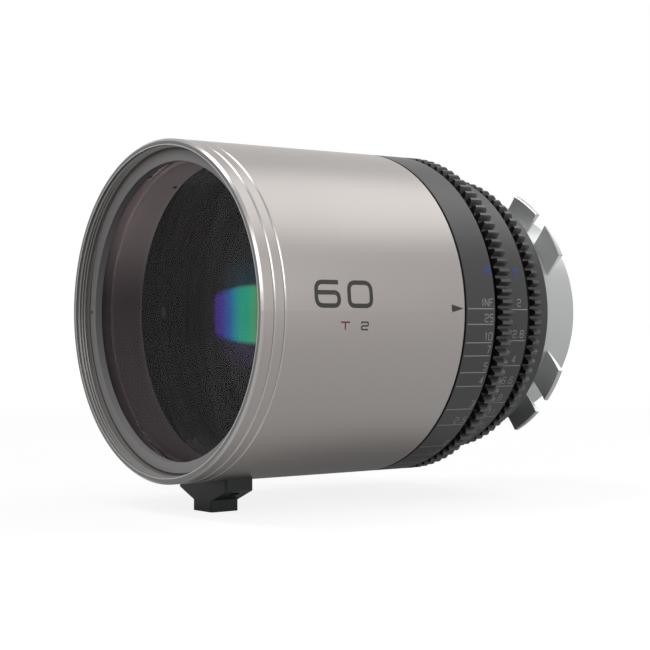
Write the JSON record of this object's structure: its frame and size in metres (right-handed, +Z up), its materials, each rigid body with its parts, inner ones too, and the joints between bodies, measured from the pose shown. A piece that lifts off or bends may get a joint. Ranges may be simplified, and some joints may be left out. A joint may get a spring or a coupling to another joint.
{
  "type": "cinema prime lens",
  "caption": "Cinema prime lens with an anamorphic front, geared focus and iris rings, a lugged camera mount, a support foot and a working iris.",
  "frame": {"origin": "on the optical axis, in the plane of the mount's flange seat", "axes": "+Y along the optical axis towards the camera, +Z up, +X towards the side with the index mark"},
  "size_m": [0.08, 0.1102, 0.087],
  "materials": {
    "barrel_metal": "satin",
    "inner_metal": "satin",
    "black_metal": "matte",
    "scale_band": "satin",
    "gear_black": "satin",
    "foot_black": "satin",
    "mount_steel": "satin",
    "screw_steel": "satin",
    "brass": "satin",
    "blade_steel": "matte",
    "front_glass": "polished",
    "inner_glass": "polished"
  },
  "bodies": {
    "root": {"front_ring": "barrel_metal", "front_cell": "inner_metal", "front_cell_screws": "screw_steel", "front_retaining_ring": "inner_metal", "front_cylinder_element": "front_glass", "front_spacer": "inner_metal", "second_cylinder_element": "front_glass", "barrel_sleeve": "barrel_metal", "main_housing": "black_metal", "anamorphic_cell": "black_metal", "third_cylinder_element": "inner_glass", "anamorphic_retaining_ring": "black_metal", "alignment_screws": "screw_steel", "focus_stop_pin": "screw_steel", "iris_base_plate": "black_metal", "iris_cover_plate": "black_metal", "iris_retaining_ring": "black_metal", "rear_cell": "black_metal", "rear_cell_screws": "screw_steel", "rear_element_front": "inner_glass", "rear_spacer": "black_metal", "rear_element_rear": "inner_glass", "rear_retaining_ring": "black_metal", "rear_ring": "scale_band", "mount_shim": "mount_steel", "lens_mount": "mount_steel", "mount_screws": "screw_steel", "support_foot": "foot_black", "foot_screws": "screw_steel"},
    "focus_ring": {"cam_tube": "black_metal", "focus_scale_ring": "scale_band", "focus_gear_ring": "gear_black", "focus_ring_keys": "screw_steel"},
    "focus_group": {"focus_cell": "black_metal", "focus_element_front": "inner_glass", "focus_spacer": "black_metal", "focus_element_rear": "inner_glass", "focus_retaining_ring": "black_metal", "follower_rollers": "brass", "follower_screws": "screw_steel"},
    "iris_ring": {"iris_scale_ring": "scale_band", "iris_gear_ring": "gear_black", "iris_ring_screws": "screw_steel", "iris_drive_pin": "screw_steel", "iris_drive_ring": "brass"},
    "blade_01": {"iris_blade_01": "blade_steel"},
    "blade_02": {"iris_blade_02": "blade_steel"},
    "blade_03": {"iris_blade_03": "blade_steel"},
    "blade_04": {"iris_blade_04": "blade_steel"},
    "blade_05": {"iris_blade_05": "blade_steel"},
    "blade_06": {"iris_blade_06": "blade_steel"},
    "blade_07": {"iris_blade_07": "blade_steel"},
    "blade_08": {"iris_blade_08": "blade_steel"},
    "blade_09": {"iris_blade_09": "blade_steel"},
    "blade_10": {"iris_blade_10": "blade_steel"}
  },
  "joints": [
    {"name": "focus_turn", "type": "hinge", "parent": "root", "child": "focus_ring", "pos_m": [0, -0.0344, 0], "axis": [0, -1, 0], "range_deg": [0, 120]},
    {"name": "focus_slide", "type": "slide", "parent": "root", "child": "focus_group", "axis": [0, -1, 0], "range_m": [0, 0.006]},
    {"name": "iris_turn", "type": "hinge", "parent": "root", "child": "iris_ring", "pos_m": [0, -0.0184, 0], "axis": [0, -1, 0], "range_deg": [0, 69]},
    {"name": "blade_01_turn", "type": "hinge", "parent": "root", "child": "blade_01", "pos_m": [0.025, -0.0194, 0], "axis": [0, -1, 0], "range_deg": [0, 30.36]},
    {"name": "blade_02_turn", "type": "hinge", "parent": "root", "child": "blade_02", "pos_m": [0.02023, -0.0194, -0.01469], "axis": [0, -1, 0], "range_deg": [0, 30.36]},
    {"name": "blade_03_turn", "type": "hinge", "parent": "root", "child": "blade_03", "pos_m": [0.00773, -0.0194, -0.02378], "axis": [0, -1, 0], "range_deg": [0, 30.36]},
    {"name": "blade_04_turn", "type": "hinge", "parent": "root", "child": "blade_04", "pos_m": [-0.00773, -0.0194, -0.02378], "axis": [0, -1, 0], "range_deg": [0, 30.36]},
    {"name": "blade_05_turn", "type": "hinge", "parent": "root", "child": "blade_05", "pos_m": [-0.02023, -0.0194, -0.01469], "axis": [0, -1, 0], "range_deg": [0, 30.36]},
    {"name": "blade_06_turn", "type": "hinge", "parent": "root", "child": "blade_06", "pos_m": [-0.025, -0.0194, 0], "axis": [0, -1, 0], "range_deg": [0, 30.36]},
    {"name": "blade_07_turn", "type": "hinge", "parent": "root", "child": "blade_07", "pos_m": [-0.02023, -0.0194, 0.01469], "axis": [0, -1, 0], "range_deg": [0, 30.36]},
    {"name": "blade_08_turn", "type": "hinge", "parent": "root", "child": "blade_08", "pos_m": [-0.00773, -0.0194, 0.02378], "axis": [0, -1, 0], "range_deg": [0, 30.36]},
    {"name": "blade_09_turn", "type": "hinge", "parent": "root", "child": "blade_09", "pos_m": [0.00773, -0.0194, 0.02378], "axis": [0, -1, 0], "range_deg": [0, 30.36]},
    {"name": "blade_10_turn", "type": "hinge", "parent": "root", "child": "blade_10", "pos_m": [0.02023, -0.0194, 0.01469], "axis": [0, -1, 0], "range_deg": [0, 30.36]}
  ],
  "couplings": [
    {"joint": "focus_slide", "follows": "focus_turn", "m_per_rad": 0.0028648},
    {"joint": "blade_01_turn", "follows": "iris_turn", "ratio": 0.44},
    {"joint": "blade_02_turn", "follows": "iris_turn", "ratio": 0.44},
    {"joint": "blade_03_turn", "follows": "iris_turn", "ratio": 0.44},
    {"joint": "blade_04_turn", "follows": "iris_turn", "ratio": 0.44},
    {"joint": "blade_05_turn", "follows": "iris_turn", "ratio": 0.44},
    {"joint": "blade_06_turn", "follows": "iris_turn", "ratio": 0.44},
    {"joint": "blade_07_turn", "follows": "iris_turn", "ratio": 0.44},
    {"joint": "blade_08_turn", "follows": "iris_turn", "ratio": 0.44},
    {"joint": "blade_09_turn", "follows": "iris_turn", "ratio": 0.44},
    {"joint": "blade_10_turn", "follows": "iris_turn", "ratio": 0.44}
  ]
}
